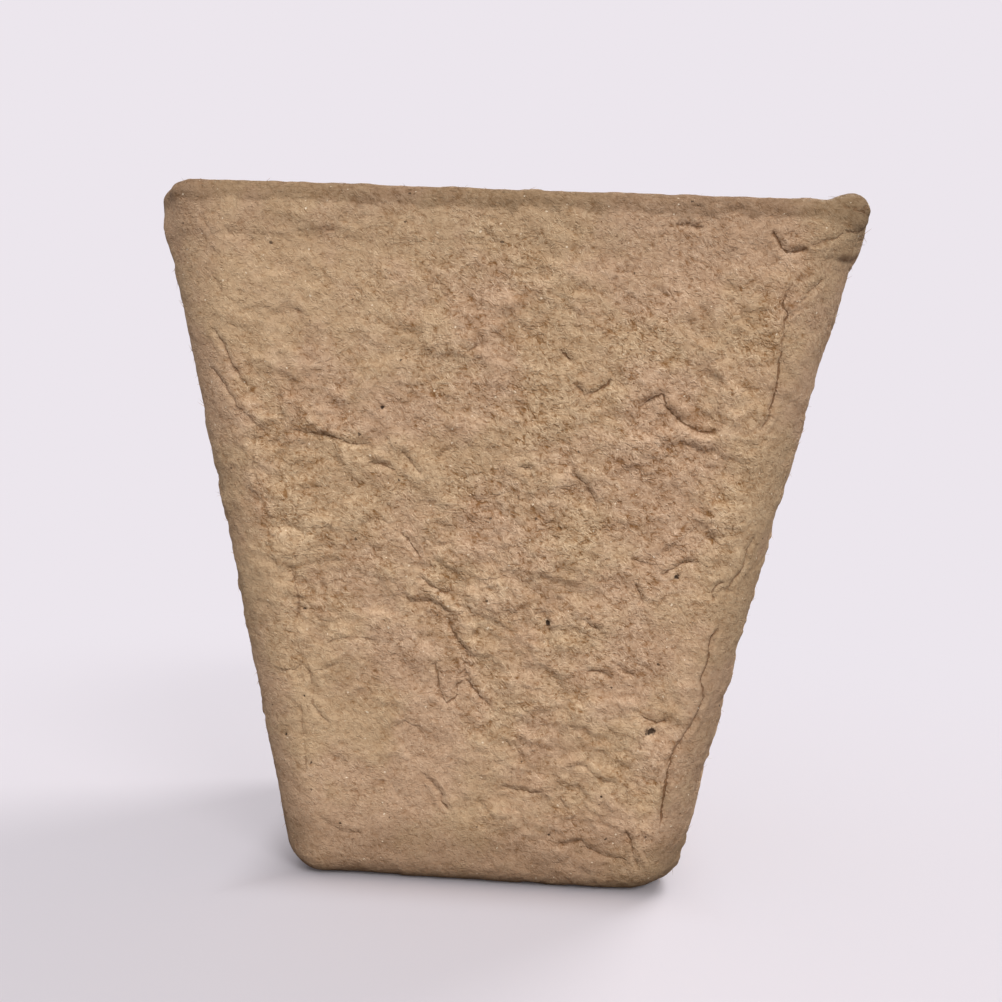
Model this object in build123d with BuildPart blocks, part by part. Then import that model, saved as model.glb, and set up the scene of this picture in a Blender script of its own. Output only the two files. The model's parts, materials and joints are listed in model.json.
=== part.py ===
"""Square peat pot: a tapering fibre pot with soft corners, a rounded heel, a beaded rim and one drain hole.

The pot stands on the XY plane with its mouth up (+Z). The origin is the middle of its underside, and the
front wall faces -Y. The shell is laid out as its floor, its heel, four walls, four corners and its rim,
which meet face to face along the tangent lines of the shape.
"""

import os

from build123d import *

# Driving dimensions, in millimetres
pot_height = 80.0
rim_width = 80.0  # over the bead of the rim
base_width = 48.0  # over the walls, where their planes meet the ground
wall = 2.4  # level thickness of the walls
floor_thickness = 3.0
rim_corner_radius = 8.0  # outside, at the top of the pot
base_corner_radius = 6.0  # outside, at ground level
heel_radius = 4.0  # outside, from the walls into the underside
heel_height = 9.0  # the heel turns into the walls here
rim_height = 6.0  # the beaded band at the top of the walls
bead_proud = 0.8  # how far the bead stands out of the wall's plane
drain_diameter = 12.0

# Shares chosen by hand
inner_heel_share = 0.8  # inner heel radius, of the inner corner radius that it runs round
crown_share = 0.5  # drop of the rim's rounded top edge, of the wall

# Levels and slopes that follow from them
rim_foot = pot_height - rim_height
bead_level = pot_height - rim_height / 2
base_half = base_width / 2
lean = (rim_width / 2 - bead_proud - base_half) / bead_level
corner_growth = (rim_corner_radius - base_corner_radius) / pot_height

# The four sides, as turns about +Z from the front
side_turns = {"front": 0, "right": 90, "back": 180, "left": 270}
corner_turns = {"front_right": 0, "back_right": 90, "back_left": 180, "front_left": 270}


def half_width(level):
    """From the axis to the outside of a wall, at a level."""
    return base_half + lean * level


def corner_radius(level):
    """Outside radius of the four upright corners, at a level."""
    return base_corner_radius + corner_growth * level


def half_flat(level):
    """Half the flat run of a wall, which ends where the corners begin."""
    return half_width(level) - corner_radius(level)


def rounded_square(level, inset):
    """A level section of the pot, drawn this far inside its outer face."""
    width = 2 * (half_width(level) - inset)
    return RectangleRounded(width, width, corner_radius(level) - inset)


def save(piece, name):
    """Labels a finished piece and writes it as one STEP file."""
    piece.part.label = name
    export_step(piece.part, f"parts/{name}.step")
    print(f"{name}: {piece.part.volume / 1000:.2f} cm3")


def make_wall(turn):
    """One flat wall from the heel to the rim, between two corners."""
    with BuildPart() as panel:
        for level in (heel_height, rim_foot):
            with BuildSketch(Plane.XY.offset(level).rotated((0, 0, turn))):
                with Locations((0, wall / 2 - half_width(level))):
                    Rectangle(2 * half_flat(level), wall)
        loft(ruled=True)
    return panel


def make_corner(turn):
    """One upright corner: a quarter ring that widens as it rises."""
    with BuildPart() as post:
        for level in (heel_height, rim_foot):
            with BuildSketch(Plane.XY.offset(level).rotated((0, 0, turn))):
                middle = (half_flat(level), -half_flat(level))
                with BuildLine():
                    outside = CenterArc(middle, corner_radius(level), -90, 90)
                    inside = CenterArc(middle, corner_radius(level) - wall, -90, 90)
                    Line(outside @ 0, inside @ 0)
                    Line(outside @ 1, inside @ 1)
                make_face()
        loft(ruled=True)
    return post


# Floor: a flat plate with the drain hole, as wide as the flat that the heel leaves
inner_heel_radius = inner_heel_share * (corner_radius(floor_thickness) - wall)
floor_inset = wall + inner_heel_radius

with BuildPart() as floor:
    with BuildSketch():
        rounded_square(floor_thickness, floor_inset)
    extrude(amount=floor_thickness)
    Hole(drain_diameter / 2)

# Heel: the rounded turn from the floor's edge up into the walls
with BuildPart() as heel:
    for level in (0, heel_height):
        with BuildSketch(Plane.XY.offset(level)):
            rounded_square(level, 0)
    loft(ruled=True)
    fillet(heel.faces().sort_by(Axis.Z)[0].edges(), heel_radius)
    for level in (floor_thickness, heel_height):
        with BuildSketch(Plane.XY.offset(level)):
            rounded_square(level, wall)
    loft(ruled=True, mode=Mode.SUBTRACT)
    inner_floor = heel.faces().filter_by(Plane.XY).group_by(Axis.Z)[1]
    fillet(inner_floor.edges(), inner_heel_radius)
    with BuildSketch():
        rounded_square(floor_thickness, floor_inset)
    extrude(amount=floor_thickness, mode=Mode.SUBTRACT)

# Rim: the wall's top band, with a bead outside and a rounded crown, carried round the mouth
foot_half = half_width(rim_foot)
crown_level = pot_height - crown_share * wall
crown_half = half_width(crown_level)

with BuildPart() as rim:
    with BuildLine(Plane.XY.offset(rim_foot)) as mouth:
        FilletPolyline(
            (foot_half, -foot_half),
            (foot_half, foot_half),
            (-foot_half, foot_half),
            (-foot_half, -foot_half),
            radius=corner_radius(rim_foot),
            close=True,
        )
    with BuildSketch(Plane.XZ):
        with BuildLine():
            Line((foot_half - wall, rim_foot), (foot_half, rim_foot))
            ThreePointArc(
                (foot_half, rim_foot),
                (rim_width / 2, bead_level),
                (crown_half, crown_level),
            )
            ThreePointArc(
                (crown_half, crown_level),
                (crown_half - wall / 2, pot_height),
                (crown_half - wall, crown_level),
            )
            Line((crown_half - wall, crown_level), (foot_half - wall, rim_foot))
        make_face()
    sweep(path=mouth.wire())

os.makedirs("parts", exist_ok=True)
save(floor, "floor")
save(heel, "heel")
for side, turn in side_turns.items():
    save(make_wall(turn), f"wall_{side}")
for corner, turn in corner_turns.items():
    save(make_corner(turn), f"corner_{corner}")
save(rim, "rim")
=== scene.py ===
# %% [markdown]
# # A peat pot, formed whole and then cut along its frame
# A peat pot is pressed from wet peat and wood fibre. It comes out of the mould as one felted shell: lumpy
# where the pulp was thick, cracked where it tore, smooth where the tool rubbed it. The CAD frame holds that
# shell as eleven regions with exact joints between them. This script forms the skin of the whole pot once,
# so that no lump or crack stops at a joint, and then cuts it along those joints into one piece for each node.

# %% Load the frame
import json
import math

import bpy
import numpy as np
from mathutils import Matrix, Vector

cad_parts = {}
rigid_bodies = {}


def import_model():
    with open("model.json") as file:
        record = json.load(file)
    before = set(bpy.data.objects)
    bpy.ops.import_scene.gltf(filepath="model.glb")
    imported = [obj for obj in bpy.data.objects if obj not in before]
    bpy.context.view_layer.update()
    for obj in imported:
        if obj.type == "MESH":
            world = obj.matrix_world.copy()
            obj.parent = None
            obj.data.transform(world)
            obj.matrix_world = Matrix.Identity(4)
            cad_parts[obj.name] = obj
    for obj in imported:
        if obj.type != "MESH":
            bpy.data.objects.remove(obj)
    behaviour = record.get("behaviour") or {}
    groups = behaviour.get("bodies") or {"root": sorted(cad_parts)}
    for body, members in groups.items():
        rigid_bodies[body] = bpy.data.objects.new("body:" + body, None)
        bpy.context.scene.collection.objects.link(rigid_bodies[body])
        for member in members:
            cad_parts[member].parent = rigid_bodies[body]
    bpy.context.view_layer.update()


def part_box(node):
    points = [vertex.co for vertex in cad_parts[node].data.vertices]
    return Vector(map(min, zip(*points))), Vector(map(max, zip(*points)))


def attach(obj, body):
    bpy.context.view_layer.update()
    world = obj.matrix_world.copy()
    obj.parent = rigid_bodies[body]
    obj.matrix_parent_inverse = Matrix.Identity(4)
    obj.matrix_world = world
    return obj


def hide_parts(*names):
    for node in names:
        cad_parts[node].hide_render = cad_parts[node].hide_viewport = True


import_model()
millimetre = 0.001

# %% [markdown]
# ## The camera
# The photograph was taken from close by, a little right of the middle and just above half the pot's height,
# with the camera tipped slightly. Its place was found by fitting the pot's outline. It comes first, because
# the cracks in the front wall are placed later along this camera's own rays.

# %% Place the camera
image_pixels = 1002
focal_pixels = 960.0
sensor_width = 36.0
eye = Vector((5.48, -140.54, 45.19)) * millimetre
eye_turn, eye_tilt, eye_roll = math.radians(2.428), math.radians(0.787), math.radians(2.719)

camera_data = bpy.data.cameras.new("camera")
camera_data.sensor_width = sensor_width
camera_data.lens = focal_pixels / image_pixels * sensor_width
camera_data.clip_start = 5 * millimetre
camera = bpy.data.objects.new("camera", camera_data)
bpy.context.scene.collection.objects.link(camera)
look = Matrix.Rotation(eye_turn, 4, "Z") @ Matrix.Rotation(eye_tilt, 4, "X")
level_camera = Matrix.Rotation(-eye_roll, 4, "Y") @ Matrix.Rotation(math.radians(90), 4, "X")
camera.matrix_world = Matrix.Translation(eye) @ look @ level_camera
bpy.context.scene.camera = camera
bpy.context.view_layer.update()
print("camera at", [round(v * 1000, 1) for v in eye], "mm, lens", round(camera_data.lens, 2), "mm")

# %% [markdown]
# ## Sizes from the frame
# Nothing is measured twice: every main size of the pot is read from the boxes of the CAD nodes. The heel's
# radius and the drain hole can't be read from a box, so they are named here as they are in the CAD source.

# %% Read the pot's sizes
rim_low, rim_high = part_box("rim")
heel_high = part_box("heel")[1]
floor_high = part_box("floor")[1]
front_low, front_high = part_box("wall_front")
corner_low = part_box("corner_front_right")[0]

pot_height, rim_foot, bead_half = rim_high.z, rim_low.z, rim_high.x
heel_height = heel_high.z
floor_thickness, floor_half = floor_high.z, floor_high.x
wall = heel_high.x + front_high.y
lean = (-front_low.y - heel_high.x) / (rim_foot - heel_height)
base_half = heel_high.x - lean * heel_height
flat_growth = (front_high.x - corner_low.x) / (rim_foot - heel_height)
base_flat = corner_low.x - flat_growth * heel_height
heel_radius = 4 * millimetre
drain_radius = 6 * millimetre
drain_edge = 0.7 * millimetre


def half_width(level):
    """From the axis to the outside of a wall, at a level."""
    return base_half + lean * level


def half_flat(level):
    """Half the flat run of a wall at a level, up to where the corners begin."""
    return base_flat + flat_growth * level


def corner_radius(level):
    """Outside radius of an upright corner, at a level."""
    return half_width(level) - half_flat(level)


print("wall", round(wall * 1000, 2), "mm, base", round(base_half * 2000, 1), "mm, lean", round(lean, 4))

# %% [markdown]
# ## The section of the shell
# Cut the pot down the middle and the wall shows one closed outline: out along the underside, round the heel,
# up the outside, over the rim, down the inside, across the floor and through the drain hole to the start.
# Each station on that outline is a ring round the pot, a rounded square that turns into a circle at the drain
# hole. So the whole skin is one grid, rings by stations, with no pole and no seam to hide.

# %% Walk round the section
stations = []
spans = {}


def ring(half, level, flat=None):
    """One ring of the grid: half width, half flat run, level, share of the drain circle and its radius."""
    return half, half_flat(level) if flat is None else flat, level, 0.0, drain_radius


def stretch(name, count, shape):
    """Adds a stretch of the outline, where shape gives the ring at each share of the way along it."""
    first = len(stations)
    stations.extend(shape(step / count) for step in range(count))
    spans[name] = (first, len(stations))


def mix(start, stop, share):
    """A value part of the way from a start to a stop."""
    return start + (stop - start) * share


def upright(start, stop, inset):
    """A stretch of leaning wall between two levels, this far inside its outer face."""
    return lambda share: ring(half_width(mix(start, stop, share)) - inset, mix(start, stop, share))


def arc(centre, radius, start, stop, flat=None):
    """A round stretch, between two angles in degrees."""

    def shape(share):
        angle = math.radians(mix(start, stop, share))
        return ring(centre[0] + radius * math.cos(angle), centre[1] + radius * math.sin(angle), flat)

    return shape


def bore(radius, level, share=1.0, half=floor_half):
    """A ring on the way from the floor's square edge to the drain hole's circle."""
    return half, half_flat(0), level, share, radius


# %% Lay the stations along the outline
lean_angle = math.degrees(math.atan(lean))
fillet_run = 1 / math.tan(math.radians((90 + lean_angle) / 2))
inner_heel_radius = half_width(floor_thickness) - wall - floor_half
heel_centre = (base_half - heel_radius * fillet_run, heel_radius)
heel_top = heel_radius * (1 - math.sin(math.radians(lean_angle)))
inner_centre = (
    half_width(floor_thickness) - wall - inner_heel_radius * fillet_run,
    floor_thickness + inner_heel_radius,
)
inner_top = inner_centre[1] - inner_heel_radius * math.sin(math.radians(lean_angle))
crown_level = pot_height - wall / 2
crown_half = half_width(crown_level)
rim_flat = half_flat(rim_foot)

bead_points = np.array([
    (half_width(rim_foot), rim_foot),
    (bead_half, (rim_foot + pot_height) / 2),
    (crown_half, crown_level),
])
chords = 2 * (bead_points[1:] - bead_points[0])
bead_centre = np.linalg.solve(chords, (bead_points[1:] ** 2).sum(1) - (bead_points[0] ** 2).sum())
bead_start, bead_stop = (
    math.degrees(math.atan2(*(bead_points[k] - bead_centre)[::-1])) for k in (0, 2)
)
bead_radius = float(np.linalg.norm(bead_points[0] - bead_centre))

wall_rows = 229
stretch("heel_under", 5, lambda s: ring(mix(floor_half, heel_centre[0], s), 0.0))
stretch("heel_turn", 20, arc(heel_centre, heel_radius, -90, -lean_angle))
stretch("heel_side", 20, upright(heel_top, heel_height, 0))
stretch("wall_out", wall_rows, upright(heel_height, rim_foot, 0))
stretch("bead", 20, arc(bead_centre, bead_radius, bead_start, bead_stop, rim_flat))
stretch("crown", 16, arc((crown_half - wall / 2, crown_level), wall / 2, 0, 180, rim_flat))
stretch("rim_in", 17, lambda s: ring(
    mix(crown_half, half_width(rim_foot), s) - wall, mix(crown_level, rim_foot, s), rim_flat))
stretch("wall_in", wall_rows, upright(rim_foot, heel_height, wall))
stretch("heel_in", 10, upright(heel_height, inner_top, wall))
stretch("heel_fillet", 12, arc(inner_centre, inner_heel_radius, -lean_angle, -90))
stretch("heel_floor", 2, lambda s: ring(mix(inner_centre[0], floor_half, s), floor_thickness))
stretch("floor_in", 36, lambda s: bore(drain_radius + drain_edge, floor_thickness, s))
stretch("drain_top", 4, lambda s: bore(
    drain_radius + drain_edge * (1 - math.sin(s * math.pi / 2)),
    floor_thickness - drain_edge * (1 - math.cos(s * math.pi / 2))))
stretch("drain", 5, lambda s: bore(drain_radius, mix(floor_thickness - drain_edge, drain_edge, s)))
stretch("drain_bottom", 4, lambda s: bore(
    drain_radius + drain_edge * (1 - math.cos(s * math.pi / 2)),
    drain_edge * (1 - math.sin(s * math.pi / 2))))
stretch("floor_under", 36, lambda s: bore(drain_radius + drain_edge, 0.0, 1 - s))
print(len(stations), "stations in", len(spans), "stretches")

# %% [markdown]
# ## The smooth blank
# Each ring has four flats and four corners, in the order that the sides stand round the pot. A grid cell is
# about 0.3 mm, small enough for the lumps and cracks to be real geometry. Each point also gets the direction
# that leads out of the shell there, because the pulp swells and cracks along it.

# %% Lay out the grid
flat_cells, corner_cells = 204, 40
side_cells = flat_cells + corner_cells
ring_cells = 4 * side_cells
station_count = len(stations)

half, flat, level, bore_share, bore_radius = (np.array(column)[:, None] for column in zip(*stations))
steps = np.arange(side_cells)
along = np.minimum(steps / flat_cells * 2 - 1, 1)
turn = np.clip((steps - flat_cells) / corner_cells, 0, 1) * math.pi / 2


def square_ring(half, flat):
    """Rounded squares, one row for each station, walked from the front wall's left end towards +X."""
    x = along * flat + np.sin(turn) * (half - flat)
    y = -flat - np.cos(turn) * (half - flat)
    sides = []
    for _ in range(4):
        sides.append(np.stack([x, y], -1))
        x, y = -y, x
    return np.concatenate(sides, 1)


squares = square_ring(half, flat)
bearing = square_ring(np.array([[floor_half]]), np.array([[half_flat(0)]]))
bearing /= np.linalg.norm(bearing, axis=2, keepdims=True)
plan = mix(squares, bearing * bore_radius[..., None], bore_share[..., None])
points = np.concatenate([plan, np.broadcast_to(level, plan.shape[:2])[..., None]], 2)


def unit(vectors):
    """Vectors of the same directions, with a length of one."""
    return vectors / np.linalg.norm(vectors, axis=2, keepdims=True)


def out_of_shell():
    """The direction that leads out of the shell at each point, from its neighbours on the grid."""
    around = np.roll(points, -1, 1) - np.roll(points, 1, 1)
    onward = np.roll(points, -1, 0) - np.roll(points, 1, 0)
    return unit(np.cross(around, onward))


outward = out_of_shell()
print("blank:", points.shape[0], "by", points.shape[1], "points")

# %% [markdown]
# ## Where this pot differs from a perfect one
# The moulding isn't true: its walls are drawn in a little between heel and rim, a lump of pulp sits on the
# rim's right corner with a flap below it, the left corner is uneven too, the left foot is fuller, the right
# one stands slightly off the ground, and the bead of the rim fades along the front. Each is a soft push,
# placed by where it shows in the photograph. To find such a place, a ray is walked from the camera through
# its pixel until it meets the pot.

# %% Find a pixel of the photograph on the pot
image_middle = image_pixels / 2
camera_turn = camera.matrix_world.to_3x3()
ray_steps = 80


def onto_pot(pixel):
    """Where the camera's ray through a pixel meets the smooth outside of the pot, or comes closest to it."""
    across, down = pixel
    ray = camera_turn @ Vector((across - image_middle, image_middle - down, -focal_pixels)).normalized()
    place = eye.copy()
    least_gap, closest = math.inf, place
    for _ in range(ray_steps):
        over = [abs(v) - half_flat(place.z) for v in place.xy]
        gap = math.hypot(*(max(v, 0) for v in over)) + min(max(over), 0) - corner_radius(place.z)
        if gap < least_gap:
            least_gap, closest = gap, place.copy()
        place += ray * gap
    return np.array(closest)


def nearness(pixel, reach):
    """One at a place in the photograph, falling off to nothing over a reach in millimetres."""
    gap = np.linalg.norm(points - onto_pot(pixel), axis=2)
    return np.exp(-((gap / (reach * millimetre)) ** 2))


photo_middle = onto_pot((image_middle, image_middle))
print("the middle of the photograph meets the pot at", (photo_middle / millimetre).round(1), "mm")

# %% Draw in the walls and fade the bead
share_inside = np.zeros(station_count)
crown_first, crown_last = spans["crown"]
share_inside[crown_first:crown_last] = np.linspace(0, 1, crown_last - crown_first)
share_inside[spans["rim_in"][0]:spans["drain"][0]] = 1

wall_bow = 0.2 * millimetre
drawn_in = wall_bow * np.sin(math.pi * np.clip(level[:, 0] / pot_height, 0, 1)) * (2 * share_inside - 1)
points += outward * drawn_in[:, None, None]

front_left, front_middle, front_right, right_corner, back_side, left_side = 0, 100, 206, 222, 500, 740
bead_places = [front_left, front_middle, front_right, right_corner, back_side, left_side, ring_cells]
bead_shares = [0.25, 0.0, 0.1, 0.7, 0.7, 0.6, 0.25]
bead_kept = np.interp(np.arange(ring_cells), bead_places, bead_shares)
bead_rows = slice(*spans["bead"])
proud = np.zeros(station_count)
proud[bead_rows] = half[bead_rows, 0] - half_width(level[bead_rows, 0])
tiny = 1e-9
level_out = unit(outward[..., :2] + tiny)
points[..., :2] -= level_out * (proud[:, None] * (1 - bead_kept))[..., None]
outward = out_of_shell()
print("bead kept from", bead_kept.min(), "to", bead_kept.max())

# %% Swell the lumps and lift the foot
# Pixel, and reach and height in millimetres
swellings = {
    "rim_knob": ((858, 208), 2.3, 2.0),
    "rim_flap": ((862, 228), 2.2, 0.4),
    "rim_left": ((166, 206), 2.5, -0.35),
    "rim_left_top": ((186, 186), 1.6, 0.4),
    "rim_left_turn": ((172, 190), 1.3, 0.4),
    "rim_left_low": ((169, 240), 1.8, 0.35),
    "right_foot": ((682, 864), 2.2, 0.1),
    "left_foot": ((312, 862), 2.6, 0.5),
}
lifted_foot_pixel, lifted_reach, lift = (668, 880), 3.2, 0.9 * millimetre
for pixel, reach, height in swellings.values():
    points += outward * (height * millimetre * nearness(pixel, reach))[..., None]
points[..., 2] += lift * nearness(lifted_foot_pixel, lifted_reach)
outward = out_of_shell()
print(len(swellings), "swellings and a lifted foot")

# %% [markdown]
# The pulp isn't equally rough all over: the walls are lively, the corners, the rim and the inside are calmer,
# and some patches of the front differ. Each point keeps how lively it is, and how much painted shade darkens
# it where a corner turns away from the light.

# %% Say how lively each place is, and how much painted shade each corner gets
station_live = {
    "heel_under": 0.45, "heel_turn": 0.6, "heel_side": 0.8, "wall_out": 1.0, "bead": 0.85, "crown": 0.5,
    "rim_in": 0.4, "wall_in": 0.5, "heel_in": 0.5, "heel_fillet": 0.4, "heel_floor": 0.4, "floor_in": 0.5,
    "drain_top": 0.4, "drain": 0.4, "drain_bottom": 0.4, "floor_under": 0.45,
}
smooth_rows = 31
live_column = np.concatenate([np.full(b - a, station_live[k]) for k, (a, b) in spans.items()])
live_column = np.pad(live_column, smooth_rows // 2, mode="wrap")
live_column = np.convolve(live_column, np.ones(smooth_rows) / smooth_rows, mode="valid")
# The corners are calmer, and their colour is darkened with painted shade, as they turn away from the light.
corner_calm, painted_corner_share = 0.58, 0.52
cornerness = np.tile(np.sin(np.clip(turn * 2, 0, math.pi)), 4)
live = live_column[:, None] * (1 - corner_calm * cornerness)
painted_corner_shade = np.tile(cornerness * painted_corner_share, (station_count, 1))

# Pixel, reach in millimetres and change as a share
lively_places = [
    ((230, 260), 16, -0.50), ((290, 720), 12, -0.40), ((450, 845), 14, -0.30), ((340, 790), 14, -0.35),
    ((520, 520), 20, 0.35), ((690, 400), 12, 0.25), ((640, 730), 12, -0.12), ((855, 204), 4, 1.2),
]
# Painted shade: darker at the lower right corner and on the rim's knob, lighter at the upper left corner.
shaded_places = [((700, 760), 24, 0.9), ((215, 330), 26, -0.4), ((856, 204), 3, 1.2)]
for values, places in ((live, lively_places), (painted_corner_shade, shaded_places)):
    for pixel, reach, change in places:
        values *= 1 + change * nearness(pixel, reach)
print("liveliness from", round(live.min(), 2), "to", round(live.max(), 2))

# %% [markdown]
# ## Cracks
# The cracks in the front wall are what this pot is known by, so each one is traced as a
# few pixels of the photograph, with the share of the full depth that it has. The camera's rays carry them
# onto the wall. The other three walls aren't in the photograph, so their cracks are drawn by a short seeded
# walk with the same lengths and slants. All become splines, and a spline's point radius carries its depth.

# %% Trace the cracks of the front
front_cracks = {
    "right_edge_top": (1.2, [(793, 283), (789, 291), (784, 307), (789, 314), (785, 329), (783, 354),
                             (776, 397), (769, 421), (759, 432)]),
    "right_edge_middle": (0.7, [(758, 533), (748, 553), (743, 571), (735, 581), (727, 594)]),
    "right_edge_low": (1.5, [(719, 620), (720, 629), (714, 638), (711, 652), (709, 667), (703, 681),
                             (705, 698), (696, 722), (682, 743), (672, 759), (668, 776), (664, 799),
                             (664, 810), (660, 832)]),
    "rim_flap": (1.0, [(771, 229), (775, 235), (780, 246), (788, 252), (801, 251), (813, 248)]),
    "rim_flap_fold": (0.45, [(808, 249), (819, 242), (831, 240), (842, 232), (852, 229), (866, 217)]),
    "rim_flap_foot": (0.7, [(838, 259), (847, 261), (855, 257)]),
    "rim_dash": (0.7, [(674, 225), (685, 226), (699, 228), (705, 226)]),
    "right_curl": (1.0, [(640, 406), (651, 398), (662, 393), (665, 406), (674, 415), (683, 424), (702, 433),
                         (721, 432)]),
    "right_curl_end": (0.5, [(741, 392), (752, 390), (761, 388)]),
    "upper_cup": (1.0, [(560, 350), (574, 363)]),
    "upper_bowl": (1.1, [(575, 383), (585, 394), (597, 391), (612, 378)]),
    "upper_dash": (0.5, [(654, 288), (669, 298)]),
    "left_shelf": (0.9, [(287, 428), (303, 433), (325, 435), (338, 439), (353, 445), (374, 444)]),
    "left_shelf_step": (0.9, [(368, 462), (384, 465), (395, 471)]),
    "left_shelf_drop": (0.7, [(401, 449), (412, 464), (422, 476)]),
    "middle_slant_top": (0.9, [(400, 532), (410, 543), (421, 562)]),
    "middle_slant": (0.9, [(418, 576), (429, 585), (449, 596)]),
    "middle_stair_top": (0.5, [(408, 604), (429, 602), (440, 606), (447, 615)]),
    "middle_stair": (0.9, [(448, 620), (452, 632), (457, 642), (468, 652)]),
    "middle_link": (0.5, [(460, 655), (465, 666), (466, 680)]),
    "middle_stair_spur": (0.5, [(458, 616), (468, 609)]),
    "middle_branch": (0.5, [(436, 547), (454, 542)]),
    "low_zigzag": (0.8, [(434, 658), (437, 675), (439, 694), (447, 704), (456, 698), (457, 686), (467, 681)]),
    "low_slash": (1.0, [(463, 676), (468, 683), (477, 695), (490, 707)]),
    "low_streak": (0.5, [(468, 500), (488, 499), (507, 491)]),
    "centre_hook": (0.8, [(518, 465), (530, 469), (535, 482)]),
    "centre_slant": (0.7, [(570, 468), (585, 484), (596, 504)]),
    "centre_low_slant": (0.5, [(555, 520), (562, 532)]),
    "right_tick": (0.9, [(661, 575), (675, 569), (686, 563), (700, 563)]),
    "right_tick_stem": (0.6, [(653, 563), (656, 572)]),
    "right_drop": (1.1, [(634, 584), (640, 593), (644, 605)]),
    "right_ear": (0.8, [(714, 602), (714, 592), (719, 585), (725, 583)]),
    "right_ear_inner": (0.7, [(718, 596), (726, 590), (735, 592)]),
    "low_right_dash": (0.9, [(583, 619), (591, 626), (600, 631)]),
    "low_right_shelf": (0.8, [(587, 673), (597, 672), (606, 675), (613, 680)]),
    "low_right_slant": (0.8, [(617, 666), (626, 673), (636, 677)]),
    "pit_brow": (0.8, [(640, 716), (648, 721), (658, 724), (669, 722)]),
    "pit_left": (0.4, [(640, 737), (639, 751)]),
    "low_nick": (0.4, [(613, 732), (620, 741)]),
    "base_shelf": (0.8, [(500, 788), (516, 791), (534, 794), (544, 793)]),
    "base_arch": (0.5, [(565, 768), (575, 765), (585, 767), (600, 781), (619, 784)]),
    "base_left_slant": (0.9, [(423, 773), (436, 788), (442, 794), (441, 801), (450, 811)]),
    "foot_line": (0.8, [(551, 847), (569, 844), (582, 842), (588, 850), (598, 855), (613, 859), (631, 861)]),
    "foot_fork": (0.7, [(624, 829), (631, 842), (633, 856), (638, 869)]),
    "foot_spur": (0.4, [(644, 851), (647, 861)]),
    "left_low_hook": (0.5, [(303, 662), (308, 671), (312, 682), (313, 705), (320, 715), (332, 725)]),
    "left_low_ledge": (0.5, [(275, 670), (295, 671), (303, 662)]),
    "left_low_valley": (0.4, [(301, 703), (302, 728), (305, 752), (305, 776)]),
    "left_foot_slant": (0.5, [(318, 819), (333, 826), (343, 832), (364, 834)]),
    "left_edge_streak": (0.25, [(200, 211), (206, 224), (215, 236)]),
    "left_edge_nick": (0.45, [(225, 226), (233, 236)]),
    "left_edge_upper": (0.5, [(213, 278), (222, 293)]),
    "left_edge_line": (0.8, [(210, 326), (221, 342), (228, 359), (235, 372), (248, 389)]),
    "left_edge_line_low": (0.7, [(208, 366), (221, 381), (233, 399), (240, 417)]),
    "rim_streak": (0.5, [(728, 209), (744, 208)]),
    "rim_streak_left": (0.5, [(693, 206), (705, 207)]),
    "rim_knob_fold": (0.6, [(842, 207), (851, 211), (858, 213)]),
    "right_edge_start": (0.6, [(823, 280), (812, 291), (804, 302)]),
    "upper_right_dash": (0.4, [(732, 322), (751, 316)]),
    "upper_left_dash": (0.25, [(258, 306), (276, 311), (289, 314)]),
    "upper_left_slant": (0.25, [(291, 308), (313, 319)]),
    "centre_dash": (0.5, [(438, 457), (452, 447)]),
    "centre_low_dash": (0.5, [(488, 579), (507, 577)]),
    "centre_low_shelf": (0.5, [(534, 615), (553, 613)]),
    "low_dash": (0.5, [(513, 743), (523, 759)]),
    "low_right_tick": (0.5, [(627, 786), (627, 805)]),
    "low_slant": (0.5, [(559, 799), (567, 810)]),
    "left_low_dash": (0.4, [(313, 671), (324, 670), (340, 661)]),
    "left_edge_link": (0.6, [(236, 408), (247, 414), (256, 424), (265, 434)]),
    "left_edge_drop": (0.4, [(253, 424), (254, 445), (252, 468), (258, 485)]),
    "left_shelf_back": (0.5, [(269, 449), (275, 443), (283, 438)]),
    "left_bump_top": (0.5, [(287, 560), (298, 556)]),
    "left_bump_side": (0.6, [(289, 565), (296, 589), (299, 605), (294, 624)]),
    "upper_tick": (0.6, [(466, 353), (473, 349), (479, 343)]),
    "upper_long_slant": (0.35, [(428, 270), (440, 287), (452, 302)]),
    "rim_slant": (0.45, [(482, 227), (490, 236), (497, 244)]),
    "left_wrinkle": (0.35, [(305, 566), (324, 562), (344, 561)]),
    "left_wrinkle_low": (0.3, [(318, 588), (335, 581), (355, 585)]),
    "left_soft_dash": (0.35, [(298, 490), (311, 489), (323, 487)]),
    "middle_arch": (0.3, [(362, 525), (378, 519), (394, 527)]),
    "left_low_brow": (0.4, [(326, 645), (338, 639), (356, 638), (379, 641)]),
    "low_soft_arch": (0.35, [(392, 729), (404, 722), (416, 727), (424, 736)]),
    "base_soft_slant": (0.35, [(476, 800), (486, 810), (496, 821)]),
    "right_tick_left": (0.6, [(631, 559), (643, 563), (654, 568)]),
    "right_tick_rise": (0.45, [(655, 561), (667, 551), (682, 541), (697, 527)]),
    "right_edge_dash": (0.45, [(705, 537), (716, 541), (730, 536)]),
}
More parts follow.
